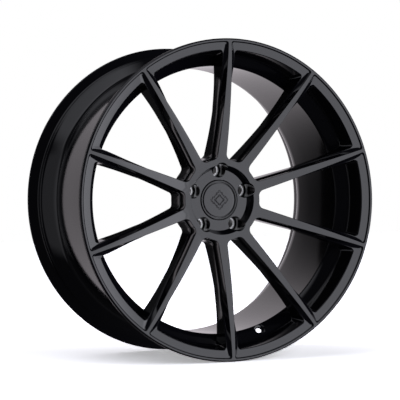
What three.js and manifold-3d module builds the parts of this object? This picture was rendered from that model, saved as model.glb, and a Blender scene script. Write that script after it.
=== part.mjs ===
// Ten-spoke forged road and race wheel with five bolt seats and a push-in centre cap.
//
// Millimetres. The wheel turns about Y and the origin is its centre: -Y is the outboard face,
// +Y the side that meets the vehicle's hub, +Z is up and one spoke points straight up.
// Every profile below is a list of [radius, y] points, and every plan outline is drawn in the
// XZ plane, with the spoke or window it belongs to pointing up.

import * as THREE from 'three';
import { mergeVertices } from 'three/addons/utils/BufferGeometryUtils.js';
import Module from 'manifold-3d';

const wasm = await Module();
wasm.setup();

// ---- driving dimensions ----------------------------------------------------------------------

const SPOKES = 10;
const BOLTS = 5;
const SEGMENTS = 60; // facets in a full turn, a multiple of the spoke count
const SMALL_SEGMENTS = 18; // facets round a bolt pocket, a seat or the valve hole
const CAP_SEGMENTS = 36;
const GAP = 0.3; // clearance between neighbouring solids

const WHEEL_RADIUS = 299.1; // over the flanges
const HALF_WIDTH = 144.35; // half the width over the flanges
const BEAD_SEAT_RADIUS = 281.8;
const WINDOW_RADIUS = 277; // outer end of a window, at the face
const LEDGE_RADIUS = 291.6; // outer edge of the stepped ledge round the windows
const CREASE_RADIUS = 251; // where the barrel begins behind the spokes
const CREASE_Y = -82;
const WALL_END_RADIUS = 272.5; // inner end of the window's outer wall
const WALL_END_Y = -100;
const BARREL_REAR_RADIUS = 256; // inside of the barrel where it starts to flare
const BARREL_REAR_Y = 80;

const RIM_CUTS = [-HALF_WIDTH - 1, -98.5, -60, 88, HALF_WIDTH + 1]; // where the rim is divided

const FACE_RIM_Y = -143.9; // spoke face where it meets the rim
const FACE_TAPER = 0.0797; // the spoke face falls away from the rim by
const FACE_BOW = 0.00067; // FACE_TAPER t + FACE_BOW t^2 at a distance t inside FACE_RUN_RADIUS
const FACE_RUN_RADIUS = 276;
const HUB_FACE_Y = -103.8; // flat ring of the face round the hub recess
const BACK_RIM_Y = -94; // the spoke back follows a second bowed line
const BACK_RUN_RADIUS = 245;
const BACK_TAPER = 0.0357;
const BACK_BOW = 0.00163;

const SPOKE_HALF_WIDTH_RIM = 4.7;
const SPOKE_HALF_WIDTH_HUB = 9.4;
const SPOKE_WIDTH_RADIUS_RIM = 265; // where the half width has its rim value
const SHOULDER_DEPTH = 19; // depth at which a spoke steps out to its wider back
const SHOULDER_STEP = 2;
const SPOKE_FOOT_FILLET = 12;

const HUB_RADIUS = 96; // the hub ends and the spokes begin here
const WINDOW_INNER_RADIUS = 77;
const WINDOW_CORNER_RADIUS = 8.5;
const PAD_Y = -87.6; // floor of the hub recess
const PAD_RADIUS = 57.5;
const RECESS_RADIUS = 65; // top edge of the hub recess
const MOUNT_Y = -40; // face that bears on the vehicle's hub
const MOUNT_RADIUS = 72;
const BORE_RADIUS = 33.3;
const CLIP_LIP_RADIUS = 31.2;
const CAP_SEAT_RADIUS = 38.3;
const CAP_SEAT_Y = -80;

const BOLT_CIRCLE_RADIUS = 56;
const POCKET_RADIUS = 14;
const POCKET_FLOOR_Y = -60;
const SEAT_RADIUS = 12;
const SEAT_BACK_Y = -46;
const BOLT_HOLE_RADIUS = 7.75;

const VALVE_ANGLE = THREE.MathUtils.degToRad(162); // round from the top spoke, clockwise
const VALVE_RADIUS = 5.65;
const VALVE_LEAN = 30; // degrees between the hole and the wheel's axis
const VALVE_SPOT_RADIUS = 9.5;
const VALVE_SPOT_DEPTH = 4;
const VALVE_CENTRE = [258.5, -90];

const CAP_RADIUS = 37.6;
const CAP_FACE_Y = -88.6;
const CAP_RECESS_RADIUS = 34.6;
const BADGE_RADIUS = 33.4;
const BADGE_RISE = 1.1;
const LEG_OUTER_RADIUS = 30.2;
const LEG_INNER_RADIUS = 27.8;
const LEG_END_Y = -62;
const LEG_COUNT = 6;
const BARB_RADIUS = 30.8;
const WIRE_RADIUS = 0.9;
const WIRE_Y = -67;

// ---- materials -------------------------------------------------------------------------------

const satinBlack = () => new THREE.MeshStandardMaterial({ color: 0x25262a, roughness: 0.32, metalness: 0.55 });
const bareMetal = () => new THREE.MeshStandardMaterial({ color: 0xc9c9c6, roughness: 0.28, metalness: 1 });
const capBlack = () => new THREE.MeshStandardMaterial({ color: 0x333337, roughness: 0.45, metalness: 0.3 });
const springSteel = () => new THREE.MeshStandardMaterial({ color: 0x8d8f92, roughness: 0.35, metalness: 1 });

// ---- solids ----------------------------------------------------------------------------------

function toSolid(geometry) {
  const plain = geometry.clone();
  plain.deleteAttribute('normal');
  plain.deleteAttribute('uv');
  const merged = mergeVertices(plain, 1e-4);
  return new wasm.Manifold(new wasm.Mesh({
    numProp: 3,
    vertProperties: new Float32Array(merged.attributes.position.array),
    triVerts: new Uint32Array(merged.index.array),
  }));
}

function toMesh(name, solid, material) {
  const { vertProperties, triVerts } = solid.getMesh();
  const geometry = new THREE.BufferGeometry();
  geometry.setAttribute('position', new THREE.BufferAttribute(vertProperties, 3));
  geometry.setIndex(new THREE.BufferAttribute(triVerts, 1));
  geometry.computeVertexNormals();
  const mesh = new THREE.Mesh(geometry, material);
  mesh.name = name;
  return mesh;
}

// A ring turned about Y from a closed profile that runs outwards along its lowest side first.
function turned(profile, segments = SEGMENTS) {
  const points = [...profile, profile[0]].map(([r, y]) => new THREE.Vector2(r, y));
  return toSolid(new THREE.LatheGeometry(points, segments));
}

// A plan outline made into a prism between two heights along Y.
function prism(shape, fromY, toY, curveSegments = 4) {
  const geometry = new THREE.ExtrudeGeometry(shape, { depth: toY - fromY, bevelEnabled: false, curveSegments });
  geometry.rotateX(Math.PI / 2);
  geometry.translate(0, toY, 0);
  return toSolid(geometry);
}

function cylinder(radius, fromY, toY, segments) {
  const geometry = new THREE.CylinderGeometry(radius, radius, toY - fromY, segments);
  geometry.translate(0, (fromY + toY) / 2, 0);
  return toSolid(geometry);
}

const turn = (solid, radians) => solid.rotate([0, THREE.MathUtils.radToDeg(radians), 0]);

// ---- profiles --------------------------------------------------------------------------------

function spokeFaceY(r) {
  const t = Math.max(FACE_RUN_RADIUS - r, 0);
  return Math.min(FACE_RIM_Y + FACE_TAPER * t + FACE_BOW * t * t, HUB_FACE_Y);
}

function spokeBackY(r) {
  const t = BACK_RUN_RADIUS - r;
  return t > 0 ? BACK_RIM_Y + BACK_TAPER * t + BACK_BOW * t * t : BACK_RIM_Y;
}

function spokeHalfWidth(r) {
  const slope = (SPOKE_HALF_WIDTH_HUB - SPOKE_HALF_WIDTH_RIM) / (SPOKE_WIDTH_RADIUS_RIM - HUB_RADIUS);
  return SPOKE_HALF_WIDTH_RIM + slope * (SPOKE_WIDTH_RADIUS_RIM - r);
}

const steps = (from, to, count) => Array.from({ length: count + 1 }, (_, i) => from + ((to - from) * i) / count);

// The rim's inside from the face ring to the barrel: ledge, window wall, step and slope.
const RIM_INSIDE = [
  [LEDGE_RADIUS + 0.5, -HALF_WIDTH],
  [LEDGE_RADIUS, -141.7],
  [WINDOW_RADIUS + 1.4, -138.9],
  [WINDOW_RADIUS, -137.2],
  [WALL_END_RADIUS, WALL_END_Y],
  [WALL_END_RADIUS - 7.5, WALL_END_Y + 3],
  [CREASE_RADIUS, CREASE_Y],
];

// The same line moved inwards by a distance, with mitred corners.
function movedInwards(line, distance) {
  const normals = line.slice(1).map(([r, y], i) => {
    const edge = new THREE.Vector2(r - line[i][0], y - line[i][1]).normalize();
    return new THREE.Vector2(-edge.y, edge.x);
  });
  return line.map(([r, y], i) => {
    const before = normals[Math.max(i - 1, 0)];
    const after = normals[Math.min(i, normals.length - 1)];
    const mitre = before.clone().add(after).divideScalar(1 + before.dot(after));
    return [r + mitre.x * distance, y + mitre.y * distance];
  });
}

const RIM_PROFILE = [
  ...RIM_INSIDE.slice().reverse(),
  [WHEEL_RADIUS - 1.5, -HALF_WIDTH],
  [WHEEL_RADIUS, -HALF_WIDTH + 1.5],
  [WHEEL_RADIUS - 1, -135],
  [BEAD_SEAT_RADIUS + 3, -132.8],
  [BEAD_SEAT_RADIUS, -130],
  [BEAD_SEAT_RADIUS, -105],
  [BEAD_SEAT_RADIUS - 2.3, -101],
  [CREASE_RADIUS + 6.5, -77.5],
  [CREASE_RADIUS + 6.5, -60],
  [BARREL_REAR_RADIUS + 5, BARREL_REAR_Y],
  [BARREL_REAR_RADIUS + 8, 94],
  [280, 113],
  [BEAD_SEAT_RADIUS + 0.8, 115.5],
  [BEAD_SEAT_RADIUS, 118],
  [BEAD_SEAT_RADIUS, 130],
  [BEAD_SEAT_RADIUS + 3, 132.8],
  [WHEEL_RADIUS - 1, 135],
  [WHEEL_RADIUS, HALF_WIDTH - 1.5],
  [WHEEL_RADIUS - 1.5, HALF_WIDTH],
  [281, HALF_WIDTH],
  [276, 138],
  [274.5, 117],
  [262, 98.5],
  [BARREL_REAR_RADIUS, BARREL_REAR_Y],
];

const SPOKE_RIM_LINE = movedInwards(RIM_INSIDE, GAP + 0.1);

// Where the rim line crosses the spoke's back, on the slope.
function spokeHeel() {
  const [upper, lower] = SPOKE_RIM_LINE.slice(-2);
  const share = (BACK_RIM_Y - upper[1]) / (lower[1] - upper[1]);
  return [upper[0] + share * (lower[0] - upper[0]), BACK_RIM_Y];
}

const HUB_EDGE = HUB_RADIUS + GAP / 2;

const SPOKE_PROFILE = [
  ...steps(HUB_EDGE, FACE_RUN_RADIUS, 6).map((r) => [r, spokeFaceY(r)]),
  [SPOKE_RIM_LINE[1][0], FACE_RIM_Y],
  ...SPOKE_RIM_LINE.slice(1, -1),
  spokeHeel(),
  ...steps(BACK_RUN_RADIUS, HUB_EDGE, 5).map((r) => [r, spokeBackY(r)]),
];

const HUB_PROFILE = [
  [CAP_SEAT_RADIUS, CAP_SEAT_Y],
  [CAP_SEAT_RADIUS, PAD_Y + 0.8],
  [CAP_SEAT_RADIUS + 0.8, PAD_Y],
  [PAD_RADIUS, PAD_Y],
  [RECESS_RADIUS, HUB_FACE_Y],
  [WINDOW_INNER_RADIUS, HUB_FACE_Y],
  [HUB_RADIUS - 10, spokeFaceY(HUB_RADIUS - 10)],
  [HUB_RADIUS - GAP / 2, spokeFaceY(HUB_RADIUS)],
  [HUB_RADIUS - GAP / 2, spokeBackY(HUB_RADIUS)],
  [MOUNT_RADIUS + 6, MOUNT_Y - 5],
  [MOUNT_RADIUS, MOUNT_Y],
  [BORE_RADIUS + 1.5, MOUNT_Y],
  [BORE_RADIUS, MOUNT_Y - 1.5],
  [BORE_RADIUS, CAP_SEAT_Y + 6],
  [CLIP_LIP_RADIUS, CAP_SEAT_Y + 5],
  [CLIP_LIP_RADIUS, CAP_SEAT_Y],
];

// ---- rim -------------------------------------------------------------------------------------

// A leaning hole through the slope behind a window, with a flat spot face on the inside.
function valveHole() {
  const tool = cylinder(VALVE_RADIUS, -40, 40, SMALL_SEGMENTS).add(cylinder(VALVE_SPOT_RADIUS, -40, VALVE_SPOT_DEPTH, SMALL_SEGMENTS));
  const placed = tool.rotate([VALVE_LEAN, 0, 0]).translate([0, VALVE_CENTRE[1], VALVE_CENTRE[0]]);
  return turn(placed, VALVE_ANGLE);
}

function rimPieces() {
  const names = ['outboard_lip', 'drop_centre', 'barrel', 'inboard_lip'];
  const rim = turned(RIM_PROFILE).subtract(valveHole());
  return names.map((name, i) => {
    const slab = cylinder(WHEEL_RADIUS + 10, RIM_CUTS[i] + GAP / 2, RIM_CUTS[i + 1] - GAP / 2, SEGMENTS);
    return toMesh(name, rim.intersect(slab), satinBlack());
  });
}

// ---- spokes ----------------------------------------------------------------------------------

// Plan outline of a spoke, widened by a step; the foot spreads towards the rim when it has a fillet.
function spokeOutline(step, fillet) {
  const foot = SPOKE_WIDTH_RADIUS_RIM;
  const half = (r) => spokeHalfWidth(r) + step;
  const shape = new THREE.Shape();
  shape.moveTo(half(HUB_RADIUS - 5), HUB_RADIUS - 5);
  shape.lineTo(half(foot), foot);
  if (fillet > 0) {
    shape.absarc(half(foot) + fillet, foot, fillet, Math.PI, (2 * Math.PI) / 3, true);
    shape.lineTo(half(foot) + fillet / 2, LEDGE_RADIUS);
    shape.lineTo(-half(foot) - fillet / 2, LEDGE_RADIUS);
    shape.absarc(-half(foot) - fillet, foot, fillet, Math.PI / 3, 0, true);
  } else {
    shape.lineTo(half(foot), LEDGE_RADIUS + 1);
    shape.lineTo(-half(foot), LEDGE_RADIUS + 1);
    shape.lineTo(-half(foot), foot);
  }
  shape.lineTo(-half(HUB_RADIUS - 5), HUB_RADIUS - 5);
  return shape;
}

// A narrow face, and SHOULDER_DEPTH behind it a wider back that spreads into the rim.
function spokeSolid() {
  const disc = turned(SPOKE_PROFILE);
  const face = disc.intersect(prism(spokeOutline(0, 0), -HALF_WIDTH, 0));
  const behind = disc.intersect(disc.translate([0, SHOULDER_DEPTH, 0]));
  const back = behind.intersect(prism(spokeOutline(SHOULDER_STEP, SPOKE_FOOT_FILLET), -HALF_WIDTH, 0));
  return face.add(back);
}

function spokePieces() {
  const solid = spokeSolid();
  return Array.from({ length: SPOKES }, (_, i) => {
    const mesh = toMesh(`spoke_${String(i + 1).padStart(2, '0')}`, solid, satinBlack());
    mesh.rotation.y = (i * 2 * Math.PI) / SPOKES;
    return mesh;
  });
}

// ---- hub -------------------------------------------------------------------------------------

// The hub end of the window between two spokes: the spokes' edges joined by two round corners.
function windowEnd() {
  const halfPitch = Math.PI / SPOKES;
  const centreY = WINDOW_INNER_RADIUS + WINDOW_CORNER_RADIUS;
  const reach = spokeHalfWidth(centreY) + WINDOW_CORNER_RADIUS;
  const centreX = (centreY * Math.sin(halfPitch) - reach) / Math.cos(halfPitch);
  const far = HUB_RADIUS + 25;
  const farX = far * Math.sin(halfPitch) - spokeHalfWidth(far) * Math.cos(halfPitch);
  const farY = far * Math.cos(halfPitch) + spokeHalfWidth(far) * Math.sin(halfPitch);
  const shape = new THREE.Shape();
  shape.moveTo(-farX, farY);
  shape.lineTo(farX, farY);
  shape.absarc(centreX, centreY, WINDOW_CORNER_RADIUS, -halfPitch, -Math.PI / 2, true);
  shape.absarc(-centreX, centreY, WINDOW_CORNER_RADIUS, -Math.PI / 2, halfPitch - Math.PI, true);
  return shape;
}

function hubPiece() {
  const window = prism(windowEnd(), -HALF_WIDTH, 0);
  const pocket = cylinder(POCKET_RADIUS, -HALF_WIDTH, POCKET_FLOOR_Y, SMALL_SEGMENTS)
    .add(cylinder(SEAT_RADIUS + GAP, POCKET_FLOOR_Y - 1, SEAT_BACK_Y + GAP, SMALL_SEGMENTS))
    .add(cylinder(BOLT_HOLE_RADIUS, SEAT_BACK_Y, 0, SMALL_SEGMENTS))
    .translate([0, 0, BOLT_CIRCLE_RADIUS]);
  let hub = turned(HUB_PROFILE);
  for (let i = 0; i < SPOKES; i += 1) {
    hub = hub.subtract(turn(window, ((i + 0.5) * 2 * Math.PI) / SPOKES));
  }
  for (let i = 0; i < BOLTS; i += 1) {
    hub = hub.subtract(turn(pocket, (i * 2 * Math.PI) / BOLTS));
  }
  return toMesh('hub', hub, satinBlack());
}

// ---- bolt seats ------------------------------------------------------------------------------

const SEAT_PROFILE = [
  [SEAT_RADIUS - 0.8, POCKET_FLOOR_Y - 0.6],
  [SEAT_RADIUS, POCKET_FLOOR_Y + 0.2],
  [SEAT_RADIUS, SEAT_BACK_Y],
  [BOLT_HOLE_RADIUS, SEAT_BACK_Y],
  [BOLT_HOLE_RADIUS, POCKET_FLOOR_Y + 5.5],
];

function seatPieces() {
  const solid = turned(SEAT_PROFILE, SMALL_SEGMENTS);
  return Array.from({ length: BOLTS }, (_, i) => {
    const angle = (i * 2 * Math.PI) / BOLTS;
    const mesh = toMesh(`bolt_seat_${i + 1}`, solid, bareMetal());
    mesh.position.set(BOLT_CIRCLE_RADIUS * Math.sin(angle), 0, BOLT_CIRCLE_RADIUS * Math.cos(angle));
    return mesh;
  });
}

// ---- centre cap ------------------------------------------------------------------------------

const CAP_PROFILE = [
  [CAP_RECESS_RADIUS, CAP_FACE_Y],
  [CAP_RADIUS - 0.8, CAP_FACE_Y],
  [CAP_RADIUS, CAP_FACE_Y + 0.8],
  [CAP_RADIUS, CAP_SEAT_Y - GAP],
  [LEG_OUTER_RADIUS, CAP_SEAT_Y - GAP],
  [LEG_OUTER_RADIUS, LEG_END_Y - 8],
  [BARB_RADIUS, LEG_END_Y - 6],
  [BARB_RADIUS, LEG_END_Y - 4],
  [LEG_OUTER_RADIUS - 0.8, LEG_END_Y],
  [LEG_INNER_RADIUS, LEG_END_Y],
  [LEG_INNER_RADIUS, CAP_SEAT_Y - 1.7],
  [0, CAP_SEAT_Y - 1.7],
  [0, CAP_SEAT_Y - 4.3],
  [CAP_RECESS_RADIUS, CAP_SEAT_Y - 4.3],
];

function capShell() {
  const slot = toSolid(new THREE.BoxGeometry(7, 20, 8).translate(0, LEG_END_Y - 5, LEG_OUTER_RADIUS));
  let shell = turned(CAP_PROFILE, CAP_SEGMENTS);
  for (let i = 0; i < LEG_COUNT; i += 1) {
    shell = shell.subtract(turn(slot, (i * 2 * Math.PI) / LEG_COUNT));
  }
  return toMesh('cap_shell', shell, capBlack());
}

// A shallow dome set in the shell's recess.
function capBadge() {
  const back = CAP_SEAT_Y - 4.3 - GAP;
  const edge = CAP_FACE_Y + 1;
  const dome = steps(BADGE_RADIUS - 1, 0, 3).map((r) => [r, edge - 0.6 - BADGE_RISE * (1 - (r / BADGE_RADIUS) ** 2)]);
  const profile = [[0, back], [0, dome.at(-1)[1]], ...dome.slice(0, -1).reverse(), [BADGE_RADIUS, edge], [BADGE_RADIUS, back]];
  return toMesh('cap_badge', turned(profile, CAP_SEGMENTS), capBlack());
}

// A wire ring that spreads the clip legs.
function capSpring() {
  const centre = LEG_INNER_RADIUS - WIRE_RADIUS - GAP;
  const section = steps(0, 2 * Math.PI, 6).slice(0, -1)
    .map((a) => [centre + WIRE_RADIUS * Math.cos(a), WIRE_Y + WIRE_RADIUS * Math.sin(a)]);
  return toMesh('cap_spring', turned(section, CAP_SEGMENTS), springSteel());
}

// ---- assembly --------------------------------------------------------------------------------

const wheel = new THREE.Group();
wheel.add(hubPiece(), ...spokePieces(), ...rimPieces(), ...seatPieces());

const centreCap = new THREE.Group();
centreCap.add(capShell(), capBadge(), capSpring());

const assembly = new THREE.Group();
assembly.add(wheel, centreCap);

export default assembly;
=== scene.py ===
"""Ten-spoke forged wheel with five bolt seats and a push-in centre cap, built round its CAD frame.

Meshes are shaped in millimetres, about the wheel's axis Y, and scaled to metres at the end.
A plan point is (side, out): out along a window's or spoke's own middle line, side across it.
"""

import math  # noqa: E402

import bmesh  # noqa: E402
import bpy  # noqa: E402
from mathutils import Matrix, Vector  # noqa: E402


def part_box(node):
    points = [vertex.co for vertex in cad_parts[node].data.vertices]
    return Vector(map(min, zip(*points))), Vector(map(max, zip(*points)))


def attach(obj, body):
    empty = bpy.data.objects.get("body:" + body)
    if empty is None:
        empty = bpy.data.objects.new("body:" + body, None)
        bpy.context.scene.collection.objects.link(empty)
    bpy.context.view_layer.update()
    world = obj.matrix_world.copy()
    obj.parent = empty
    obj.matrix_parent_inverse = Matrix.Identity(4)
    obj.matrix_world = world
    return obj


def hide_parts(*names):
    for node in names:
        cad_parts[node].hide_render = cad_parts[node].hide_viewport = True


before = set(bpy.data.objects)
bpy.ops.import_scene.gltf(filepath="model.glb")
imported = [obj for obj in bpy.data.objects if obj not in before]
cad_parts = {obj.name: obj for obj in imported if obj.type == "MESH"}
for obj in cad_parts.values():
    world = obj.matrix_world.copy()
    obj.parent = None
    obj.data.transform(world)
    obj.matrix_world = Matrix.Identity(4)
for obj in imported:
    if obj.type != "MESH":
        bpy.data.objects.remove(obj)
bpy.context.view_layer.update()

bl_info = {
    "name": "Forged ten-spoke wheel",
    "version": (1, 0, 0),
    "blender": (4, 5, 0),
    "location": "3D View > Sidebar > Wheel",
    "description": "Builds a forged ten-spoke wheel rim with its bolt seats and centre cap",
    "category": "Object",
}

MM = 0.001
SPOKES = 10
BOLTS = 5
HALF_PITCH = math.pi / SPOKES
WHEEL_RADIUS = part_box("outboard_lip")[1].x / MM
REAR_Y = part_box("inboard_lip")[1].y / MM
MOUNT_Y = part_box("hub")[1].y / MM
CAP_FACE_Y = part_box("cap_shell")[0].y / MM
CAP_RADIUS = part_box("cap_shell")[1].x / MM


# ---- settings --------------------------------------------------------------------------------


class WheelSettings(bpy.types.PropertyGroup):
    spoke_half_width: bpy.props.FloatProperty(
        name="Spoke half width", description="Half the width of a spoke's face near the rim, in mm",
        default=4.1, min=2.0, max=9.0,
    )
    spoke_spread: bpy.props.FloatProperty(
        name="Spoke spread", description="How much the half width grows per mm towards the hub",
        default=0.0286, min=0.0, max=0.06, precision=4,
    )
    shoulder_depth: bpy.props.FloatProperty(
        name="Shoulder depth", description="Depth at which a spoke steps out to its wider back, in mm",
        default=19.5, min=5.0, max=35.0,
    )
    edge_round: bpy.props.FloatProperty(
        name="Edge rounding", description="Radius of the machined edges, in mm",
        default=0.9, min=0.2, max=2.0,
    )


class FinishSettings(bpy.types.PropertyGroup):
    coat_color: bpy.props.FloatVectorProperty(
        name="Coat", description="Colour of the powder coat", subtype="COLOR",
        default=(0.0020, 0.0020, 0.0032), min=0.0, max=1.0,
    )
    coat_roughness: bpy.props.FloatProperty(
        name="Coat roughness", description="Roughness of the coat", subtype="FACTOR",
        default=0.08, min=0.0, max=1.0,
    )
    seat_color: bpy.props.FloatVectorProperty(
        name="Bare metal", description="Colour of the turned bolt seats", subtype="COLOR",
        default=(0.90, 0.90, 0.89), min=0.0, max=1.0,
    )
    cap_color: bpy.props.FloatVectorProperty(
        name="Cap", description="Colour of the moulded centre cap", subtype="COLOR",
        default=(0.004, 0.004, 0.005), min=0.0, max=1.0,
    )


# ---- shared mesh steps -----------------------------------------------------------------------


def smooth_step(x):
    x = min(max(x, 0.0), 1.0)
    return x * x * (3 - 2 * x)


def finished(bm, name, body, replaced, materials):
    """Scales a shape to metres, closes its seams, and makes it a piece that rides on a body."""
    bmesh.ops.remove_doubles(bm, verts=bm.verts, dist=0.01)
    bmesh.ops.dissolve_degenerate(bm, dist=0.001, edges=bm.edges)
    bmesh.ops.recalc_face_normals(bm, faces=bm.faces)
    bmesh.ops.scale(bm, vec=(MM, MM, MM), verts=bm.verts)
    for face in bm.faces:
        face.smooth = True
    mesh = bpy.data.meshes.new(name)
    bm.to_mesh(mesh)
    bm.free()
    piece = bpy.data.objects.new(name, mesh)
    bpy.context.scene.collection.objects.link(piece)
    for material in materials:
        mesh.materials.append(material)
    weighted = piece.modifiers.new("even_normals", "WEIGHTED_NORMAL")
    weighted.keep_sharp = True
    weighted.weight = 80
    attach(piece, body)
    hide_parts(*replaced)
    return piece


def swept(bm, edges, places):
    """Extrudes a loop of edges once per place; place(co) gives where a corner goes."""
    for place in places:
        made = bmesh.ops.extrude_edge_only(bm, edges=edges)["geom"]
        edges = [g for g in made if isinstance(g, bmesh.types.BMEdge)]
        for vert in {v for e in edges for v in e.verts}:
            vert.co = place(vert.co)
    return edges


def ring_at(radius, y):
    """A place on the circle of this radius and height, at the corner's own angle round Y."""
    def place(co):
        share = radius / math.hypot(co.x, co.z)
        return Vector((co.x * share, y, co.z * share))
    return place


def ring_edges(bm, radius, y, reach=0.05):
    """The open edges that lie on a circle about the axis."""
    def on(v):
        return abs(math.hypot(v.co.x, v.co.z) - radius) < reach and abs(v.co.y - y) < reach
    return [e for e in bm.edges if e.is_boundary and all(on(v) for v in e.verts)]


def spun_profile(bm, points, steps, centre=(0.0, 0.0)):
    """A profile of (radius, y) points spun into a closed body about an axis along Y."""
    cx, cz = centre
    verts = [bm.verts.new((cx + r, y, cz)) for r, y in points]
    edges = [bm.edges.new(pair) for pair in zip(verts, verts[1:])]
    bmesh.ops.spin(
        bm, geom=verts + edges, cent=(cx, 0, cz), axis=(0, 1, 0),
        angle=2 * math.pi, steps=steps, use_merge=True,
    )
    bmesh.ops.remove_doubles(bm, verts=bm.verts, dist=0.001)


def soften(bm, edges, offset, segments=2):
    bmesh.ops.bevel(
        bm, geom=edges, offset=offset, offset_type="OFFSET", segments=segments,
        profile=0.5, affect="EDGES", material=-1, clamp_overlap=True,
    )


def sharp_edges(bm, low, high, degrees=28.0):
    """Edges that turn by more than an angle, with both ends between two distances from the axis."""
    def inside(v):
        return low <= math.hypot(v.co.x, v.co.z) <= high
    return [
        e for e in bm.edges
        if e.is_manifold and all(inside(v) for v in e.verts)
        and e.calc_face_angle(0.0) > math.radians(degrees)
    ]


# ---- spoke and window shape ------------------------------------------------------------------

FACE_RIM_Y = -144.0
FACE_RUN_RADIUS = 276.0
FACE_TAPER = 0.0797
FACE_BOW = 0.00067
FACE_BLEND = 4.0
BACK_RIM_Y = -94.0
BACK_RUN_RADIUS = 245.0
BACK_TAPER = 0.0357
BACK_BOW = 0.00163
HEEL_RADIUS = 250.0
HEEL_BOW = 0.07
BACK_LIMIT_Y = -45.0

LEDGE_WIDTH = 7.2
LEDGE_START = 165.0
LEDGE_RUN = 100.0
SHOULDER_RIM_DROP = 4.9
SHOULDER_RISE_START = 175.0
SHOULDER_RISE_RUN = 95.0
SHOULDER_FALL = 1.2
SHOULDER_STEP = 1.1
BACK_FLARE = 2.0
BACK_FLARE_START = 230.0
BACK_FLARE_RUN = 80.0
WIDTH_RADIUS_RIM = 265.0
WIDTH_RADIUS_LAST = 292.0

RING_INNER = 295.2
HUB_CIRCLE = 73.0
HUB_FACE_Y = -103.8
SLOPE_CIRCLE = (258.0, -89.5)
HUB_BACK_CIRCLE = (74.5, -44.0)

OUTER_ARC = 13
OUTER_CORNER = 12
SIDE = 22
INNER_CORNER = {"bolt": 12, "plain": 9}
INNER_ARC = 2
CORNER_ON_SPOKE = 3


def face_y(r):
    """Height of a spoke's face: flat at the rim and the hub, and bowed between."""
    t = max(FACE_RUN_RADIUS - r, 0.0)
    fall = HUB_FACE_Y - (FACE_RIM_Y + FACE_TAPER * t + FACE_BOW * t * t)
    return HUB_FACE_Y - 0.5 * (fall + math.sqrt(fall * fall + FACE_BLEND))


def back_y(r):
    """Height of a spoke's back: a second bowed line, with a heel where it runs into the rim."""
    t = max(BACK_RUN_RADIUS - r, 0.0)
    line = BACK_RIM_Y + BACK_TAPER * t + BACK_BOW * t * t
    heel = max(r - HEEL_RADIUS, 0.0)
    return min(line + HEEL_BOW * heel * heel, HUB_BACK_CIRCLE[1])


def ledge_width(s):
    """Width of the step beside a spoke's face, which grows from nothing towards the rim."""
    return LEDGE_WIDTH * min(max((s - LEDGE_START) / LEDGE_RUN, 0.0), 1.0) ** 0.8


def shoulder_drop(s, depth):
    """Depth of the shoulder below a spoke's face: full near the hub, shallow at the rim."""
    share = smooth_step((s - SHOULDER_RISE_START) / SHOULDER_RISE_RUN)
    return depth - (depth - SHOULDER_RIM_DROP) * share


def shoulder_width(s):
    """How far a spoke's back stands out beyond the edge of its face."""
    flare = BACK_FLARE * smooth_step((BACK_FLARE_START - s) / BACK_FLARE_RUN)
    return ledge_width(s) + SHOULDER_STEP + flare


def window_stations(settings):
    """The section round a window, from the face to the back, one row per extruded loop.

    Each row holds the spoke side as (offset from the face's edge, depth below the face or height
    above the back), then (radius, y) at the rim end and at the hub end, and both corner radii.
    """
    e = settings.edge_round
    depth = settings.shoulder_depth
    soft = 0.29 * e

    def front(offset, drop):
        return lambda s: (offset(s), face_y(s) + drop(s))

    def rear(offset, rise):
        return lambda s: (
            shoulder_width(s) + offset,
            min(back_y(min(s, HEEL_RADIUS)), BACK_LIMIT_Y) - rise,
        )

    def drop(s):
        return shoulder_drop(s, depth)

    def wall(share):
        top = front(shoulder_width, lambda s: drop(s) + SHOULDER_FALL + e)
        end = rear(0.0, 2.2)
        return lambda s: tuple(a + share * (b - a) for a, b in zip(top(s), end(s)))

    def between(a, b, share):
        return tuple(x + share * (y - x) for x, y in zip(a, b))

    rim_top, rim_end = (277.2, -137.0), (272.5, -101.0)
    hub_top, hub_end = (80.0, -83.0), (80.4, -47.2)
    return [
        (front(lambda s: -e, lambda s: 0.0), (294.3, FACE_RIM_Y), (76.0, HUB_FACE_Y), 4.4, 12.0),
        (
            front(lambda s: -soft, lambda s: soft),
            (293.7, -143.75), (76.8, HUB_FACE_Y + soft), 4.0, 11.4,
        ),
        (front(lambda s: 0.0, lambda s: e), (293.2, -143.25), (77.1, HUB_FACE_Y + e), 3.8, 11.1),
        (
            front(lambda s: 0.62 * ledge_width(s), drop),
            (291.5, -140.9), (77.3, HUB_FACE_Y + depth), 3.8, 11.0,
        ),
        (
            front(lambda s: shoulder_width(s) - e, lambda s: drop(s) + SHOULDER_FALL),
            (278.9, -138.9), (79.2, -84.1), 6.0, 10.6,
        ),
        (
            front(lambda s: shoulder_width(s) - soft, lambda s: drop(s) + SHOULDER_FALL + soft),
            (277.7, -138.3), (79.8, -83.8), 6.2, 10.5,
        ),
        (wall(0.0), rim_top, hub_top, 6.5, 10.5),
        (wall(0.33), between(rim_top, rim_end, 0.33), between(hub_top, hub_end, 0.33), 7.5, 10.5),
        (wall(0.67), between(rim_top, rim_end, 0.67), between(hub_top, hub_end, 0.67), 8.5, 10.5),
        (wall(1.0), rim_end, hub_end, 9.5, 10.5),
        (rear(-0.6, 0.6), (271.7, -99.9), (79.8, -45.6), 10.5, 10.9),
        (rear(-2.2, 0.0), (269.3, -97.6), (78.2, -45.0), 12.0, 11.6),
        (rear(-4.2, 0.0), (268.0, -96.6), (76.6, -44.6), 12.5, 12.2),
    ]


def fillet_centre(width, circle, inward):
    """Distance along the spoke at which a corner circle touches both its side and a rim circle."""
    s = circle
    for _ in range(12):
        s = math.sqrt(max(circle * circle - (width(s) + inward) ** 2, 1.0))
    return s


AXIS = Vector((math.sin(HALF_PITCH), math.cos(HALF_PITCH)))
ACROSS = Vector((-math.cos(HALF_PITCH), math.sin(HALF_PITCH)))


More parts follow.
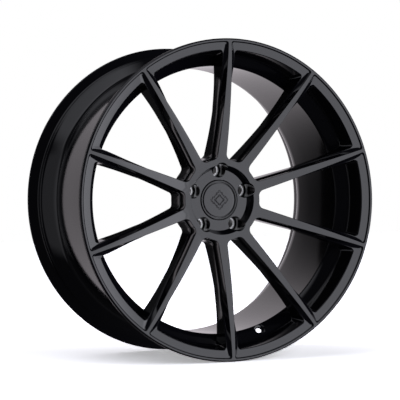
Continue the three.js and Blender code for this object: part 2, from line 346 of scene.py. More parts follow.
def blended(a, b, share):
    """A direction between two unit vectors, by angle."""
    turn = math.atan2(a.x * b.y - a.y * b.x, a.dot(b)) * share
    cos, sin = math.cos(turn), math.sin(turn)
    return Vector((a.x * cos - a.y * sin, a.x * sin + a.y * cos))


def half_outline(row, half_width, side):
    """(side, out, y) points of one station on half a window, from its rim end to its hub end."""
    section, (rim_r, rim_y), (hub_r, hub_y), rim_corner, hub_corner = row

    def width(s):
        return half_width(s) + section(s)[0]

    s_out = fillet_centre(width, rim_r - rim_corner, rim_corner)
    s_in = fillet_centre(width, hub_r + hub_corner, hub_corner)
    centre_out = s_out * AXIS + (width(s_out) + rim_corner) * ACROSS
    centre_in = s_in * AXIS + (width(s_in) + hub_corner) * ACROSS
    points = []
    reach = math.atan2(centre_out.x, centre_out.y)
    for i in range(OUTER_ARC):
        a = reach * i / OUTER_ARC
        points.append((rim_r * math.sin(a), rim_r * math.cos(a), rim_y))
    side_y = section(s_out)[1]
    for i in range(OUTER_CORNER):
        share = i / OUTER_CORNER
        p = centre_out + rim_corner * blended(centre_out.normalized(), -ACROSS, share)
        points.append((p.x, p.y, rim_y + (side_y - rim_y) * smooth_step(share)))
    for i in range(SIDE):
        s = s_out + (s_in - s_out) * i / SIDE
        p = s * AXIS + width(s) * ACROSS
        points.append((p.x, p.y, section(s)[1]))
    side_y = section(s_in)[1]
    count = INNER_CORNER[side]
    for i in range(count):
        share = i / count
        p = centre_in + hub_corner * blended(-ACROSS, -centre_in.normalized(), share)
        points.append((p.x, p.y, side_y + (hub_y - side_y) * smooth_step(share)))
    reach = math.atan2(centre_in.x, centre_in.y)
    for i in range(INNER_ARC + 1):
        a = reach * (1 - i / INNER_ARC)
        points.append((hub_r * math.sin(a), hub_r * math.cos(a), hub_y))
    return points


def half_border(rim_circle, hub_circle, height, hub_angles, first, side):
    """Where a half window's loop meets its sector's edge.

    The edge runs along the rim circle, the spoke's middle line and the hub circle.
    """
    rim_r, rim_y = rim_circle
    hub_r, hub_y = hub_circle
    points = []
    reach = math.atan2(first[OUTER_ARC][0], first[OUTER_ARC][1])
    on_rim = OUTER_CORNER // 2
    angles = [reach * i / OUTER_ARC for i in range(OUTER_ARC)]
    angles += [reach + (HALF_PITCH - reach) * i / on_rim for i in range(on_rim + 1)]
    points += [(rim_r * math.sin(a), rim_r * math.cos(a), rim_y) for a in angles]
    s_side = Vector(first[OUTER_ARC + OUTER_CORNER][:2]).dot(AXIS)
    s_side = min(s_side, rim_r - 3.0)
    left = OUTER_CORNER - on_rim
    for i in range(1, left):
        s = rim_r + (s_side - rim_r) * i / left
        points.append((*(s * AXIS), height(s)))
    s_end = hub_r + 9.0
    for i in range(SIDE + 1):
        s = s_side + (s_end - s_side) * i / SIDE
        points.append((*(s * AXIS), height(s)))
    for i in range(1, CORNER_ON_SPOKE):
        s = s_end + (hub_r - s_end) * i / CORNER_ON_SPOKE
        points.append((*(s * AXIS), height(s)))
    points += [(hub_r * math.sin(a), hub_r * math.cos(a), hub_y) for a in hub_angles]
    return points


# ---- hub ring with holes ---------------------------------------------------------------------

HOLE_COLUMNS = 9
BEYOND_COLUMNS = 10


def hole_angles(circle, radius, breaks):
    """Angles round the axis of points on a hole, from its outermost to where a ray grazes it."""
    grazing = math.pi / 2 + math.asin(radius / circle)
    spans = list(zip([0.0, *breaks], [*breaks, grazing]))
    turns = []
    for (low, high), count in zip(spans, split_evenly(HOLE_COLUMNS, spans)):
        turns += [low + (high - low) * i / count for i in range(count)]
    turns.append(grazing)
    points = [(circle + radius * math.cos(t), radius * math.sin(t)) for t in turns]
    return [math.atan2(x, r) for r, x in points]


def split_evenly(total, spans):
    """Shares a number of steps between spans by their lengths, with at least one each."""
    whole = sum(high - low for low, high in spans)
    counts = [max(1, round(total * (high - low) / whole)) for low, high in spans]
    counts[0] += total - sum(counts)
    return counts


def ring_columns(angles):
    """A half sector's column angles: those of the hole, then evenly to the next spoke."""
    last = angles[-1]
    step = (2 * HALF_PITCH - last) / BEYOND_COLUMNS
    return angles + [last + step * (i + 1) for i in range(BEYOND_COLUMNS)]


def drilled_ring(bm, circle, radius, angles, inner, outer, height):
    """Half a sector of a ring with half a hole on its first edge, from a grid fitted to the hole."""
    columns = ring_columns(angles)
    last = len(angles) - 1
    reach = [math.sqrt(max(radius ** 2 - (circle * math.sin(a)) ** 2, 0.0)) for a in angles]
    rows = list(inner)
    rows += [circle * math.cos(a) - d for a, d in zip(angles, reach)]
    rows += [circle * math.cos(a) + d for a, d in list(zip(angles, reach))[-2::-1]]
    rows += list(outer)
    start = len(inner)
    made = bmesh.ops.create_grid(
        bm, x_segments=len(columns) - 1, y_segments=len(rows) - 1, size=1.0,
    )["verts"]
    place = {}
    for vert in made:
        i = round((vert.co.x + 1) / 2 * (len(columns) - 1))
        j = round((vert.co.y + 1) / 2 * (len(rows) - 1))
        place[vert] = (i, j)
        r, a = rows[j], columns[i]
        vert.co = (r * math.sin(a), height(r), r * math.cos(a))
    waste = []
    for face in list({f for v in made for f in v.link_faces}):
        corners = {place[v]: v for v in face.verts}
        i = min(c[0] for c in corners)
        j = min(c[1] for c in corners)
        if i >= last:
            continue
        near, far = start + i, start + 2 * last - i
        if near < j < far - 1:
            waste.append(face)
        elif j in (near, far - 1) and near < far - 1:
            pair = ((i, j), (i + 1, j + 1)) if j == near else ((i, j + 1), (i + 1, j))
            cut, _ = bmesh.utils.face_split(face, corners[pair[0]], corners[pair[1]])
            keep_row = j if j == near else j + 1
            both = [face, cut]
            inside = [f for f in both if not any(place[v] == (i + 1, keep_row) for v in f.verts)]
            waste += inside
    bmesh.ops.delete(bm, geom=waste, context="FACES")


# ---- forging ---------------------------------------------------------------------------------

BOLT_CIRCLE = 56.0
POCKET_RADIUS = 14.0
BOLT_HOLE_RADIUS = 7.75
PAD_Y = -87.6
POCKET_FLOOR_Y = -60.0
PAD_RADIUS = 57.5
LIP_RADIUS = 65.0
CAP_BORE = 38.5
BORE_RADIUS = 33.3
BORE_CHAMFER = 1.2
CAP_SEAT_Y = -80.0
MOUNT_RADIUS = 71.0
SEAT_BORE_RADIUS = 12.2
SEAT_BORE_Y = -45.8
POCKET_BREAKS = tuple(
    math.acos((r * r - BOLT_CIRCLE ** 2 - POCKET_RADIUS ** 2) / (2 * BOLT_CIRCLE * POCKET_RADIUS))
    for r in (LIP_RADIUS, PAD_RADIUS)
)


def recess_y(r):
    """Height of the hub's face: the pad, the recess wall and the flat round it."""
    share = min(max((r - PAD_RADIUS) / (LIP_RADIUS - PAD_RADIUS), 0.0), 1.0)
    return PAD_Y + (HUB_FACE_Y - PAD_Y) * share


def hub_back_y(r):
    """Height of the hub's back: the mounting face, then a bevel down to the windows."""
    return MOUNT_Y if r <= MOUNT_RADIUS else HUB_BACK_CIRCLE[1]


def window_shell(bm, settings):
    """The shell of one window with half of each spoke beside it, in the sector after the top spoke."""
    def half_width(s):
        inward = WIDTH_RADIUS_RIM - min(s, WIDTH_RADIUS_LAST)
        return settings.spoke_half_width + settings.spoke_spread * inward

    pocket = ring_columns(hole_angles(BOLT_CIRCLE, POCKET_RADIUS, POCKET_BREAKS))
    hole = ring_columns(hole_angles(BOLT_CIRCLE, BOLT_HOLE_RADIUS, ()))
    middle = INNER_CORNER["bolt"] - CORNER_ON_SPOKE + INNER_ARC
    stations = window_stations(settings)

    def loop(build):
        bolt, plain = build("bolt"), build("plain")
        return [(-x, out, y) for x, out, y in bolt] + [p for p in reversed(plain[1:-1])]

    def border(columns, rim_circle, hub_circle, height, row):
        def build(side):
            angles = [HALF_PITCH - a for a in columns[:middle + 1]]
            if side == "plain":
                angles = [a - HALF_PITCH for a in columns[:middle - 1:-1]]
            first = half_outline(row, half_width, side)
            return half_border(rim_circle, hub_circle, height, angles, first, side)
        return loop(build)

    rim_circle = (RING_INNER, FACE_RIM_Y)
    front = border(pocket, rim_circle, (HUB_CIRCLE, HUB_FACE_Y), face_y, stations[0])
    back = border(hole, SLOPE_CIRCLE, HUB_BACK_CIRCLE, back_y, stations[-1])
    loops = [front]
    loops += [loop(lambda side, row=row: half_outline(row, half_width, side)) for row in stations]
    loops.append(back)
    turn = Matrix.Rotation(HALF_PITCH, 3, "Y")

    def spot(point):
        x, out, y = point
        return turn @ Vector((x, y, out))

    order = bm.verts.layers.int.new("order")
    start = bmesh.ops.create_circle(bm, segments=len(front), radius=1.0)["verts"]
    for i, vert in enumerate(start):
        vert[order] = i
        vert.co = spot(front[i])
    edges = list({e for v in start for e in v.link_edges})
    for points in loops[1:]:
        made = bmesh.ops.extrude_edge_only(bm, edges=edges)["geom"]
        edges = [g for g in made if isinstance(g, bmesh.types.BMEdge)]
        for vert in {v for e in edges for v in e.verts}:
            vert.co = spot(points[vert[order]])


RIM_OUTSIDE = (
    (WHEEL_RADIUS - 2.9, FACE_RIM_Y),
    (WHEEL_RADIUS - 2.2, -143.8),
    (WHEEL_RADIUS - 0.3, -141.9),
    (WHEEL_RADIUS, -141.1),
    (WHEEL_RADIUS, -136.0),
    (WHEEL_RADIUS - 0.6, -134.9),
    (WHEEL_RADIUS - 2.0, -134.2),
    (287.6, -132.9),
    (284.2, -131.9),
    (282.4, -130.2),
    (281.8, -127.0),
    (281.8, -107.0),
    (281.4, -103.6),
    (279.9, -101.0),
    (277.6, -98.4),
    (260.6, -80.8),
    (258.6, -78.2),
    (257.6, -74.6),
    (257.5, -68.0),
    (258.4, -20.0),
    (259.4, 30.0),
    (260.9, 76.0),
    (261.5, 83.0),
    (263.2, 89.6),
    (265.2, 94.6),
    (278.4, 111.4),
    (280.4, 113.6),
    (282.2, 114.9),
    (282.8, 116.2),
    (282.0, 118.0),
    (281.8, 121.0),
    (281.8, 127.0),
    (282.3, 128.6),
    (283.4, 130.4),
    (WHEEL_RADIUS - 2.6, 137.2),
    (WHEEL_RADIUS - 1.2, 138.2),
    (WHEEL_RADIUS - 0.3, 139.1),
    (WHEEL_RADIUS, 140.0),
    (WHEEL_RADIUS - 0.5, REAR_Y - 1.9),
    (WHEEL_RADIUS - 0.9, REAR_Y - 0.6),
    (WHEEL_RADIUS - 1.8, REAR_Y),
    (282.4, REAR_Y),
    (281.2, REAR_Y - 0.5),
    (280.0, REAR_Y - 1.7),
    (276.8, 139.4),
    (276.0, 137.0),
    (275.5, 132.0),
    (274.9, 121.0),
    (274.0, 117.0),
    (272.0, 113.0),
    (263.8, 101.6),
    (260.4, 95.6),
    (258.0, 89.0),
    (256.6, 82.0),
    (255.9, 74.0),
    (254.6, 30.0),
    (253.2, -20.0),
    (251.6, -74.0),
    (251.3, -79.0),
    (251.35, -80.9),
    (251.7, -82.2),
    (252.4, -83.3),
)


VALVE_LEAN = 30.0
VALVE_Y = -90.0
VALVE_RADIUS = 258.5
VALVE_ANGLE = 162.0


def valve_tool(bm):
    """A leaning cylinder for the valve, with its spot face, to be cut from the slope."""
    spun_profile(
        bm,
        ((0, -40), (9.5, -40), (9.5, 3.2), (8.9, 4.0), (6.3, 4.0), (5.65, 4.65), (5.65, 40), (0, 40)),
        48,
    )
    lean = Matrix.Rotation(math.radians(VALVE_LEAN), 4, "X")
    out = Matrix.Translation((0, VALVE_Y, VALVE_RADIUS))
    turn = Matrix.Rotation(math.radians(VALVE_ANGLE), 4, "Y")
    bmesh.ops.transform(bm, matrix=turn @ out @ lean, verts=bm.verts)


def cut_with(bm, build_tool):
    """Takes a tool's shape out of a closed shape."""
    objects = []
    tool = bmesh.new()
    build_tool(tool)
    for shape in (bm, tool):
        bmesh.ops.recalc_face_normals(shape, faces=shape.faces)
        mesh = bpy.data.meshes.new("cut")
        shape.to_mesh(mesh)
        objects.append(bpy.data.objects.new("cut", mesh))
        bpy.context.scene.collection.objects.link(objects[-1])
    tool.free()
    body, cutter = objects
    boolean = body.modifiers.new("cut", "BOOLEAN")
    boolean.operation = "DIFFERENCE"
    boolean.solver = "EXACT"
    boolean.object = cutter
    depsgraph = bpy.context.evaluated_depsgraph_get()
    result = body.evaluated_get(depsgraph).to_mesh()
    bm.clear()
    bm.from_mesh(result)
    for made in objects:
        mesh = made.data
        bpy.data.objects.remove(made)
        bpy.data.meshes.remove(mesh)


def bolt_places():
    for i in range(BOLTS):
        a = 2 * math.pi * i / BOLTS
        yield BOLT_CIRCLE * math.sin(a), BOLT_CIRCLE * math.cos(a)


def around(centre, radius, y):
    """A place at this distance from a bolt's own axis, in the corner's own direction."""
    def place(co):
        away = Vector((co.x - centre[0], co.z - centre[1])).normalized() * radius
        return Vector((centre[0] + away.x, y, centre[1] + away.y))
    return place


def open_edges_near(bm, centre, radius, low, high):
    """The open edges that lie at this distance from a bolt's own axis, between two heights."""
    def on(v):
        away = math.hypot(v.co.x - centre[0], v.co.z - centre[1])
        return abs(away - radius) < 0.05 and low < v.co.y < high
    return [e for e in bm.edges if e.is_boundary and all(on(v) for v in e.verts)]


def build_forging(settings):
    bm = bmesh.new()
    window_shell(bm, settings)
    drilled_ring(
        bm, BOLT_CIRCLE, POCKET_RADIUS, hole_angles(BOLT_CIRCLE, POCKET_RADIUS, POCKET_BREAKS),
        (CAP_BORE,), (HUB_CIRCLE,), recess_y,
    )
    drilled_ring(
        bm, BOLT_CIRCLE, BOLT_HOLE_RADIUS, hole_angles(BOLT_CIRCLE, BOLT_HOLE_RADIUS, ()),
        (BORE_RADIUS + BORE_CHAMFER,), (MOUNT_RADIUS, HUB_BACK_CIRCLE[0]), hub_back_y,
    )
    bmesh.ops.mirror(
        bm, geom=bm.verts[:] + bm.edges[:] + bm.faces[:], matrix=Matrix.Identity(4),
        merge_dist=0.01, axis="X",
    )
    bmesh.ops.spin(
        bm, geom=bm.verts[:] + bm.edges[:] + bm.faces[:], cent=(0, 0, 0), axis=(0, 1, 0),
        angle=2 * math.pi * (BOLTS - 1) / BOLTS, steps=BOLTS - 1, use_duplicate=True,
    )
    bmesh.ops.remove_doubles(bm, verts=bm.verts, dist=0.02)

    rim_start = ring_edges(bm, RING_INNER, FACE_RIM_Y)
    swept(bm, rim_start, [ring_at(r, y) for r, y in RIM_OUTSIDE])
    bore = ((CAP_BORE, CAP_SEAT_Y), (BORE_RADIUS, CAP_SEAT_Y))
    front_bore = swept(bm, ring_edges(bm, CAP_BORE, PAD_Y), [ring_at(r, y) for r, y in bore])
    back_bore = ring_edges(bm, BORE_RADIUS + BORE_CHAMFER, MOUNT_Y)
    back_bore = swept(bm, back_bore, [ring_at(BORE_RADIUS, MOUNT_Y - BORE_CHAMFER)])
    bmesh.ops.bridge_loops(bm, edges=front_bore + back_bore)
    rim_end = ring_edges(bm, *RIM_OUTSIDE[-1])
    bmesh.ops.bridge_loops(bm, edges=rim_end + ring_edges(bm, *SLOPE_CIRCLE))
    for centre in bolt_places():
        pocket = open_edges_near(bm, centre, POCKET_RADIUS, HUB_FACE_Y - 1, PAD_Y + 1)
        path = (
            (POCKET_RADIUS, POCKET_FLOOR_Y), (SEAT_BORE_RADIUS, POCKET_FLOOR_Y),
            (SEAT_BORE_RADIUS, SEAT_BORE_Y), (BOLT_HOLE_RADIUS, SEAT_BORE_Y),
        )
        pocket = swept(bm, pocket, [around(centre, r, y) for r, y in path])
        hole = open_edges_near(bm, centre, BOLT_HOLE_RADIUS, MOUNT_Y - 1, MOUNT_Y + 1)
        bmesh.ops.bridge_loops(bm, edges=pocket + hole)
    bmesh.ops.recalc_face_normals(bm, faces=bm.faces)
    soften(bm, sharp_edges(bm, 30.0, 72.0), 0.55)
    return bm


# ---- small turned pieces ---------------------------------------------------------------------


def build_seat(centre):
    """A turned ring at the bottom of a bolt pocket, with its seat on the outboard side."""
    bm = bmesh.new()
    spun_profile(
        bm,
        (
            (7.75, -46.0), (11.9, -46.0), (12.0, -46.3), (12.0, -59.9), (11.8, -60.4), (11.3, -60.6),
            (8.9, -60.5), (8.5, -60.3), (7.9, -59.1), (7.8, -58.8), (7.75, -58.4), (7.75, -46.0),
        ),
        64, centre,
    )
    return bm


def build_cap_shell():
    """The cap's dish, with a raised ring round the disc and a clip lip on the hub side."""
    bm = bmesh.new()
    face = CAP_FACE_Y
    rim = CAP_RADIUS
    spun_profile(
        bm,
        (
            (0.0, -84.3), (33.8, -84.3), (34.0, -84.5), (34.0, face + 0.6), (34.2, face + 0.2),
            (34.6, face), (35.9, face), (36.3, face + 0.2), (36.6, face + 0.7), (36.9, face + 2.6),
            (rim - 0.2, face + 3.0), (rim, face + 3.3), (rim, -80.6), (rim - 0.3, -80.3),
            (30.2, -80.3), (30.2, -70.0), (30.8, -68.0), (30.8, -66.0), (29.6, -62.2), (29.2, -62.0),
            (28.2, -62.0), (27.8, -62.4), (27.8, -81.7), (0.0, -81.7),
        ),
        144,
    )
    return bm


BADGE_RADIUS = 31.9
BADGE_DOME = 1.3
BADGE_STEPS = 12


def build_badge():
    """The cap's domed disc, with a turned-down edge."""
    bm = bmesh.new()
    rim = CAP_FACE_Y + 1.0
    edge = BADGE_RADIUS
    shares = [k / BADGE_STEPS for k in range(BADGE_STEPS)]
    top = [(edge * k, rim - 0.55 - BADGE_DOME * (1 - k ** 2)) for k in shares]
    spun_profile(
        bm,
        (*top, (edge - 0.8, rim - 0.6), (edge - 0.25, rim - 0.35), (edge, rim + 0.2), (edge, -84.7),
         (edge - 0.2, -84.6), (0.0, -84.6)),
        144,
    )
    return bm


def emblem_tool(bm):
    """Two nested lozenge outlines, to be engraved in the cap's disc."""
    floor_y = CAP_FACE_Y - 0.1
    above_y = -100.0
    for reach, width in ((18.0, 1.3), (10.0, 1.1)):
        inner = reach - width
        outline = ((reach, above_y), (reach, floor_y), (inner, floor_y), (inner, above_y))
        spun_profile(bm, (*outline, outline[0]), 4)


WIRE_RADIUS = 0.9
SPRING_RADIUS = 26.6
SPRING_Y = -67.0


def build_spring():
    """The round wire inside the cap's clips."""
    bm = bmesh.new()
    made = bmesh.ops.create_circle(bm, segments=12, radius=WIRE_RADIUS)["verts"]
    bmesh.ops.translate(bm, vec=(SPRING_RADIUS, SPRING_Y, 0.0), verts=made)
    edges = list(bm.edges)
    bmesh.ops.spin(
        bm, geom=made + edges, cent=(0, 0, 0), axis=(0, 1, 0),
        angle=2 * math.pi, steps=96, use_merge=True,
    )
    return bm


# ---- finishes --------------------------------------------------------------------------------


def new_material(name, color, metallic):
    material = bpy.data.materials.new(name)
    material.use_nodes = True
    shader = material.node_tree.nodes["Principled BSDF"]
    shader.inputs["Base Color"].default_value = (*color, 1.0)
    shader.inputs["Metallic"].default_value = metallic
    return material, shader


def add_noise(material, shader, scale, low, high):
    """Fine unevenness in the gloss of a coat, in the object's own space."""
    tree = material.node_tree
    where = tree.nodes.new("ShaderNodeTexCoord")
    noise = tree.nodes.new("ShaderNodeTexNoise")
    noise.inputs["Scale"].default_value = scale
    noise.inputs["Detail"].default_value = 3.0
    spread = tree.nodes.new("ShaderNodeMapRange")
    spread.inputs["To Min"].default_value = low
    spread.inputs["To Max"].default_value = high
    tree.links.new(where.outputs["Object"], noise.inputs["Vector"])
    tree.links.new(noise.outputs["Fac"], spread.inputs["Value"])
    tree.links.new(spread.outputs["Result"], shader.inputs["Roughness"])


def coat_material(finish):
    material, shader = new_material("satin_black_coat", finish.coat_color, 0.0)
    middle, spread = finish.coat_roughness, 0.015
    add_noise(material, shader, 260.0, middle - spread, middle + spread)
    return material


def seat_material(finish):
    material, shader = new_material("turned_bare_metal", finish.seat_color, 1.0)
    add_noise(material, shader, 120.0, 0.34, 0.38)
    return material


def cap_material(finish):
    material, shader = new_material("moulded_cap", finish.cap_color, 0.0)
    add_noise(material, shader, 400.0, 0.22, 0.26)
    return material


def wire_material():
    material, shader = new_material("spring_wire", (0.5, 0.5, 0.52), 1.0)
    add_noise(material, shader, 300.0, 0.26, 0.36)
    return material


# ---- operators -------------------------------------------------------------------------------


class WHEEL_OT_forging(bpy.types.Operator):
    """Builds the one-piece forging: hub, spokes and rim"""

    bl_idname = "wheel.forging"
    bl_label = "Forging"

    def execute(self, context):
        bm = build_forging(context.scene.wheel_shape)
        cut_with(bm, valve_tool)
        names = ["hub", "outboard_lip", "drop_centre", "barrel", "inboard_lip"]
        names += [f"spoke_{i + 1:02d}" for i in range(SPOKES)]
        material = coat_material(context.scene.wheel_finish)
        finished(bm, "forging", "wheel", names, [material])
        return {"FINISHED"}


class WHEEL_OT_bolt_seats(bpy.types.Operator):
    """Builds the five conical bolt seats"""

    bl_idname = "wheel.bolt_seats"
    bl_label = "Bolt seats"

    def execute(self, context):
        material = seat_material(context.scene.wheel_finish)
        for i, centre in enumerate(bolt_places()):
            name, node = f"seat_insert_{i + 1}", f"bolt_seat_{i + 1}"
            finished(build_seat(centre), name, "wheel", [node], [material])
        return {"FINISHED"}


class WHEEL_OT_centre_cap(bpy.types.Operator):
    """Builds the centre cap's shell, badge disc and spring"""

    bl_idname = "wheel.centre_cap"
    bl_label = "Centre cap"

    def execute(self, context):
        material = cap_material(context.scene.wheel_finish)
        shell = build_cap_shell()
        finished(shell, "cap_body", "centre_cap", ["cap_shell"], [material])
        badge = build_badge()
        cut_with(badge, emblem_tool)
        finished(badge, "cap_disc", "centre_cap", ["cap_badge"], [material])
        wire = wire_material()
        finished(build_spring(), "cap_wire", "centre_cap", ["cap_spring"], [wire])
        return {"FINISHED"}


CAMERA = {"azimuth": -24.569, "elevation": 0.753, "roll": -0.654, "lens": 162.1, "distance": 3.4583}
TARGET = Vector((0.0029, 0.0, -0.0025)) * WHEEL_RADIUS * MM


# The glowing wall behind the wheel has a soft spot on the right and part of a ring on the left.
FLOOR_GAP = 0.3
FLOOR_HALF_SIZE = 6.0
WALL_HALF_SIZE = 1.3
WALL_Y = 1.0
WALL_COLOR = (1.0, 0.93, 0.99, 1.0)
SPOT = {"centre": (0.45, WALL_Y, 0.0), "full": 0.30, "end": 0.71, "brightness": 0.66}
# A black card behind the hub, which the camera doesn't see.
FLAG_Y = 0.2
FLAG_RADIUS = 0.15
RING = {"inner": 0.606, "outer": 0.715, "soft": 0.01, "right_end": -0.16, "brightness": 0.65}


def ramp(tree, value, low, high, top):
    """A value taken from zero at one end of a range to a top at the other."""
    spread = tree.nodes.new("ShaderNodeMapRange")
    spread.interpolation_type = "SMOOTHSTEP"
    spread.inputs["From Min"].default_value = low
    spread.inputs["From Max"].default_value = high
    spread.inputs["To Max"].default_value = top
    tree.links.new(value, spread.inputs["Value"])
    return spread.outputs["Result"]


def combined(tree, operation, first, second):
    node = tree.nodes.new("ShaderNodeMath")
    node.operation = operation
    tree.links.new(first, node.inputs[0])
    tree.links.new(second, node.inputs[1])
    return node.outputs[0]


def distance_to(tree, where, centre):
    node = tree.nodes.new("ShaderNodeVectorMath")
    node.operation = "DISTANCE"
    node.inputs[1].default_value = centre
    tree.links.new(where, node.inputs[0])
    return node.outputs["Value"]


def wall_material():
    material = bpy.data.materials.new("wall_glow")
    material.use_nodes = True
    tree = material.node_tree
    tree.nodes.remove(tree.nodes["Principled BSDF"])
    where = tree.nodes.new("ShaderNodeTexCoord").outputs["Object"]
    away = distance_to(tree, where, SPOT["centre"])
    spot = ramp(tree, away, SPOT["end"], SPOT["full"], SPOT["brightness"])
    reach = distance_to(tree, where, (0.0, WALL_Y, 0.0))
    inner = ramp(tree, reach, RING["inner"], RING["inner"] + RING["soft"], RING["brightness"])
    outer = ramp(tree, reach, RING["outer"], RING["outer"] - RING["soft"], 1.0)
    parts = tree.nodes.new("ShaderNodeSeparateXYZ")
    tree.links.new(where, parts.inputs[0])
    left = ramp(tree, parts.outputs["X"], RING["right_end"], RING["right_end"] - RING["soft"], 1.0)
    ring = combined(tree, "MULTIPLY", combined(tree, "MULTIPLY", inner, outer), left)
    glow = tree.nodes.new("ShaderNodeEmission")
    glow.inputs["Color"].default_value = WALL_COLOR
    tree.links.new(combined(tree, "ADD", spot, ring), glow.inputs["Strength"])
    clear = tree.nodes.new("ShaderNodeBsdfTransparent")
    both = tree.nodes.new("ShaderNodeAddShader")
    tree.links.new(glow.outputs[0], both.inputs[0])
    tree.links.new(clear.outputs[0], both.inputs[1])
    tree.links.new(both.outputs[0], tree.nodes["Material Output"].inputs["Surface"])
    return material


def upright_at(y):
    return Matrix.Translation((0, y, 0)) @ Matrix.Rotation(math.radians(90.0), 4, "X")


def staged(bm, name, material):
    """Makes a shape part of the stage."""
    mesh = bpy.data.meshes.new(name)
    bm.to_mesh(mesh)
    bm.free()
    mesh.materials.append(material)
    thing = bpy.data.objects.new(name, mesh)
    bpy.context.scene.collection.objects.link(thing)
    return thing


def add_plane(name, size, matrix, material):
    bm = bmesh.new()
    bmesh.ops.create_grid(bm, x_segments=1, y_segments=1, size=size, matrix=matrix)
    return staged(bm, name, material)


def add_flag():
    """A black card behind the hub that keeps the wall's glow off the sides of the spokes."""
    bm = bmesh.new()
    upright = upright_at(FLAG_Y)
    bmesh.ops.create_circle(bm, cap_ends=True, segments=64, radius=FLAG_RADIUS, matrix=upright)
    material, shader = new_material("card_black", (0.0, 0.0, 0.0), 0.0)
    shader.inputs["Roughness"].default_value = 1.0
    card = staged(bm, "black_card", material)
    card.visible_camera = False
    card.visible_shadow = False


def sent_by_kind(tree, seen, lit):
    """Mixes two shaders: what the camera sees directly, and what lights and reflects."""
    path = tree.nodes.new("ShaderNodeLightPath")
    mix = tree.nodes.new("ShaderNodeMixShader")
    tree.links.new(path.outputs["Is Camera Ray"], mix.inputs[0])
    tree.links.new(lit, mix.inputs[1])
    tree.links.new(seen, mix.inputs[2])
    return mix.outputs[0]


# The diffuse colour is above 1, so that the dimly lit floor still reads as white.
FLOOR_WHITE = 2.6
FLOOR_GLOW = 0.3


def floor_material():
    """A white floor that shows a soft shadow and lets the light round it pass."""
    material = bpy.data.materials.new("floor_paint")
    material.use_nodes = True
    tree = material.node_tree
    tree.nodes.remove(tree.nodes["Principled BSDF"])
    white = tree.nodes.new("ShaderNodeBsdfDiffuse")
    white.inputs["Color"].default_value = (FLOOR_WHITE, FLOOR_WHITE, FLOOR_WHITE, 1.0)
    glow = tree.nodes.new("ShaderNodeEmission")
    glow.inputs["Strength"].default_value = FLOOR_GLOW
    both = tree.nodes.new("ShaderNodeAddShader")
    tree.links.new(white.outputs[0], both.inputs[0])
    tree.links.new(glow.outputs[0], both.inputs[1])
    clear = tree.nodes.new("ShaderNodeBsdfTransparent")
    output = tree.nodes["Material Output"]
    tree.links.new(sent_by_kind(tree, both.outputs[0], clear.outputs[0]), output.inputs["Surface"])
    return material


# Soft sources in the sky: direction, cosines of where each is full and where it ends, brightness.
SKY = (
    ((0.416, -0.909, 0.0), 0.80, 0.68, 2.3),
    ((0.81, -0.59, 0.0), 0.985, 0.93, 0.9),
    ((-0.45, 0.1, 0.9), 0.93, 0.80, 0.8),
    ((-1.0, 0.3, 0.0), 0.86, 0.78, 0.33),
)
SKY_BASE = 0.03
SKY_COLOR = (0.93, 0.94, 1.02, 1.0)


def studio_world():
    world = bpy.data.worlds.new("studio")
    world.use_nodes = True
    tree = world.node_tree
    where = tree.nodes.new("ShaderNodeTexCoord")
    base = tree.nodes.new("ShaderNodeMath")
    base.operation = "ADD"
    base.inputs[1].default_value = SKY_BASE
    total = base.outputs[0]
    for direction, full, end, brightness in SKY:
        toward = tree.nodes.new("ShaderNodeVectorMath")
        toward.operation = "DOT_PRODUCT"
        toward.inputs[1].default_value = Vector(direction).normalized()
        tree.links.new(where.outputs["Generated"], toward.inputs[0])
        source = ramp(tree, toward.outputs["Value"], end, full, brightness)
        if base.inputs[0].is_linked:
            total = combined(tree, "ADD", source, total)
        else:
            tree.links.new(source, base.inputs[0])
    lit = tree.nodes["Background"]
    tree.links.new(total, lit.inputs["Strength"])
    lit.inputs["Color"].default_value = SKY_COLOR
    seen = tree.nodes.new("ShaderNodeBackground")
    seen.inputs["Color"].default_value = (1.0, 1.0, 1.0, 1.0)
    output = tree.nodes["World Output"]
    tree.links.new(sent_by_kind(tree, seen.outputs[0], lit.outputs[0]), output.inputs["Surface"])
    return world


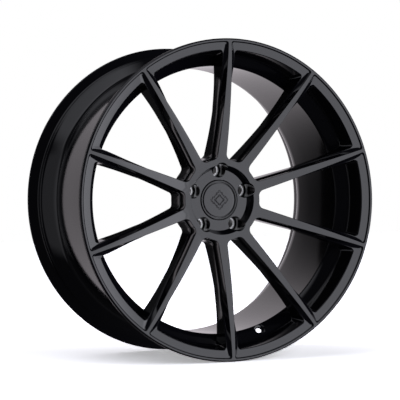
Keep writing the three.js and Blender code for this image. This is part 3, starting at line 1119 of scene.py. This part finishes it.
class WHEEL_OT_stage(bpy.types.Operator):
    """Sets the pale floor, the soft light and the camera"""

    bl_idname = "wheel.stage"
    bl_label = "Stage"

    def execute(self, context):
        scene = context.scene
        ground = Matrix.Translation((0, 0, -(WHEEL_RADIUS + FLOOR_GAP) * MM))
        add_plane("floor", FLOOR_HALF_SIZE, ground, floor_material())
        wall = add_plane("glowing_wall", WALL_HALF_SIZE, upright_at(WALL_Y), wall_material())
        wall.visible_camera = False
        wall.visible_shadow = False
        add_flag()
        scene.world = studio_world()
        scene.view_settings.view_transform = "Standard"

        data = bpy.data.cameras.new("camera")
        camera = bpy.data.objects.new("camera", data)
        scene.collection.objects.link(camera)
        a = math.radians(CAMERA["azimuth"])
        e = math.radians(CAMERA["elevation"])
        back = Vector((math.sin(a) * math.cos(e), -math.cos(a) * math.cos(e), math.sin(e)))
        camera.location = TARGET + back * CAMERA["distance"]
        aim = (-back).to_track_quat("-Z", "Y").to_matrix()
        roll = Matrix.Rotation(math.radians(CAMERA["roll"]), 3, "Z")
        camera.rotation_euler = (aim @ roll).to_euler()
        data.sensor_width = 36.0
        data.lens = CAMERA["lens"]
        scene.camera = camera
        return {"FINISHED"}


class WHEEL_PT_panel(bpy.types.Panel):
    bl_idname = "WHEEL_PT_panel"
    bl_label = "Forged wheel"
    bl_space_type = "VIEW_3D"
    bl_region_type = "UI"
    bl_category = "Wheel"

    def draw(self, context):
        column = self.layout.column()
        for settings in (context.scene.wheel_shape, context.scene.wheel_finish):
            for name in type(settings).__annotations__:
                column.prop(settings, name)
        for operator in OPERATORS:
            column.operator(operator.bl_idname)


OPERATORS = (WHEEL_OT_forging, WHEEL_OT_bolt_seats, WHEEL_OT_centre_cap, WHEEL_OT_stage)
CLASSES = (WheelSettings, FinishSettings, *OPERATORS, WHEEL_PT_panel)


def register():
    for cls in CLASSES:
        bpy.utils.register_class(cls)
    bpy.types.Scene.wheel_shape = bpy.props.PointerProperty(type=WheelSettings)
    bpy.types.Scene.wheel_finish = bpy.props.PointerProperty(type=FinishSettings)


def unregister():
    del bpy.types.Scene.wheel_finish
    del bpy.types.Scene.wheel_shape
    for cls in reversed(CLASSES):
        bpy.utils.unregister_class(cls)


def main():
    register()
    bpy.ops.wheel.forging()
    bpy.ops.wheel.bolt_seats()
    bpy.ops.wheel.centre_cap()
    bpy.ops.wheel.stage()


if __name__ == "__main__":
    main()
